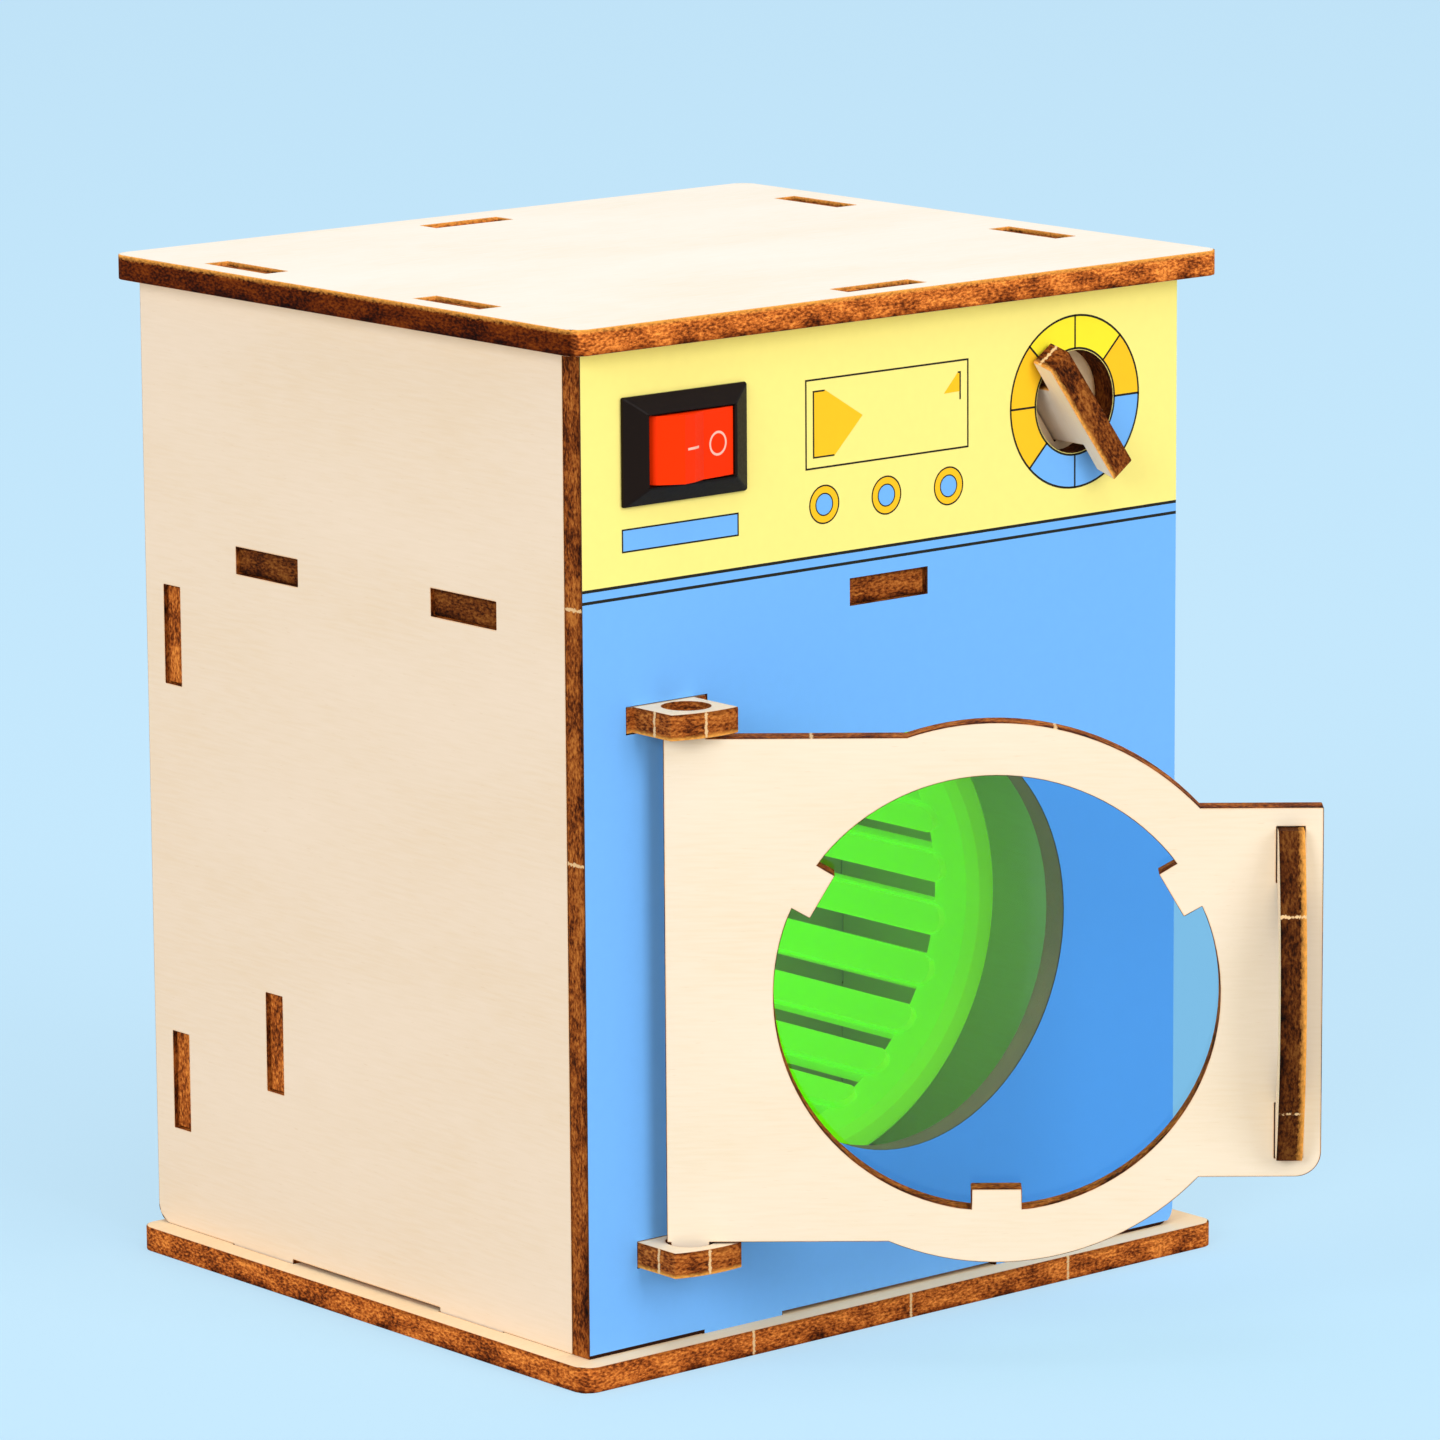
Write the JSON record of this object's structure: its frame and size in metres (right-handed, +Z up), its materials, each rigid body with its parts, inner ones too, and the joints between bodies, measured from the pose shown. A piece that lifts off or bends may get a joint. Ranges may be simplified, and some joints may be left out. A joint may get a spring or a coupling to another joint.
{
  "type": "toy washing machine",
  "caption": "Wooden toy washing machine with a porthole door, rocker switch, dial knob and a belt-driven slotted drum.",
  "frame": {"origin": "under the middle of the case, on the base panel's underside", "axes": "+Z up, the front panel and door face -Y, +X to the right seen from the front"},
  "size_m": [0.0824, 0.1164, 0.1015],
  "materials": {
    "birch_plywood": "sanded birch plywood with laser-burnt edges",
    "printed_sheet": "satin printed sheet, blue below and yellow above",
    "tinted_film": "thin clear film with a light blue tint",
    "black_plastic": "moulded, slightly glossy",
    "red_plastic": "moulded, glossy",
    "green_plastic": "bright moulded translucent plastic",
    "white_plastic": "moulded",
    "orange_plastic": "moulded",
    "black_rubber": "round drive belt",
    "plated_steel": "bright plated",
    "brass": "stamped",
    "dark_ferrite": "sintered",
    "copper_winding": "enamelled winding",
    "battery_wrap": "plain shrink wrap",
    "foam_tape": "soft foam",
    "red_insulation": "soft wire insulation",
    "black_insulation": "soft wire insulation"
  },
  "bodies": {
    "case": {"base_panel": "birch_plywood", "lid_panel": "birch_plywood", "left_side_panel": "birch_plywood", "right_side_panel": "birch_plywood", "front_panel": "birch_plywood", "front_sheet": "printed_sheet", "rear_panel": "birch_plywood", "shelf_panel": "birch_plywood", "motor_plate": "birch_plywood", "upper_hinge_bracket": "birch_plywood", "lower_hinge_bracket": "birch_plywood", "switch_housing": "black_plastic", "switch_terminals": "brass", "battery_box": "black_plastic", "battery_tape": "foam_tape", "front_battery": "battery_wrap", "rear_battery": "battery_wrap", "battery_contacts": "plated_steel", "battery_springs": "plated_steel", "front_axle_bush": "white_plastic", "rear_axle_bush": "white_plastic", "drive_belt": "black_rubber", "motor_can": "plated_steel", "motor_magnets": "dark_ferrite", "motor_end_cap": "white_plastic", "motor_terminals": "brass", "motor_screws": "plated_steel", "red_battery_wire": "red_insulation", "black_battery_wire": "black_insulation", "switch_wire": "red_insulation"},
    "door": {"door_panel": "birch_plywood", "door_window": "tinted_film", "door_handle": "birch_plywood"},
    "knob": {"knob_disc": "birch_plywood", "knob_handle": "birch_plywood"},
    "rocker": {"switch_rocker": "red_plastic"},
    "drum_unit": {"drum": "green_plastic", "drum_hub": "white_plastic", "drum_screws": "plated_steel", "drum_axle": "plated_steel", "drum_pulley": "orange_plastic"},
    "motor_rotor": {"motor_armature": "copper_winding", "motor_shaft": "plated_steel", "motor_pulley": "orange_plastic"}
  },
  "joints": [
    {"name": "door_hinge", "type": "hinge", "parent": "case", "child": "door", "pos_m": [-0.0279, -0.03625, 0.0372], "axis": [0, 0, -1], "range_deg": [-40.6, 129.4]},
    {"name": "knob_turn", "type": "hinge", "parent": "case", "child": "knob", "pos_m": [0.0236, -0.03325, 0.0874], "axis": [0, -1, 0], "continuous": true},
    {"name": "rocker_tilt", "type": "hinge", "parent": "case", "child": "rocker", "pos_m": [-0.0257, -0.0322, 0.0891], "axis": [0, 0, -1], "range_deg": [0, 20]},
    {"name": "drum_spin", "type": "hinge", "parent": "case", "child": "drum_unit", "pos_m": [0, 0, 0.03687], "axis": [0, 1, 0], "continuous": true},
    {"name": "motor_spin", "type": "hinge", "parent": "case", "child": "motor_rotor", "pos_m": [0.02386, 0, 0.06074], "axis": [0, 1, 0], "continuous": true}
  ],
  "couplings": [
    {"joint": "motor_spin", "follows": "drum_spin", "ratio": 4.4}
  ]
}
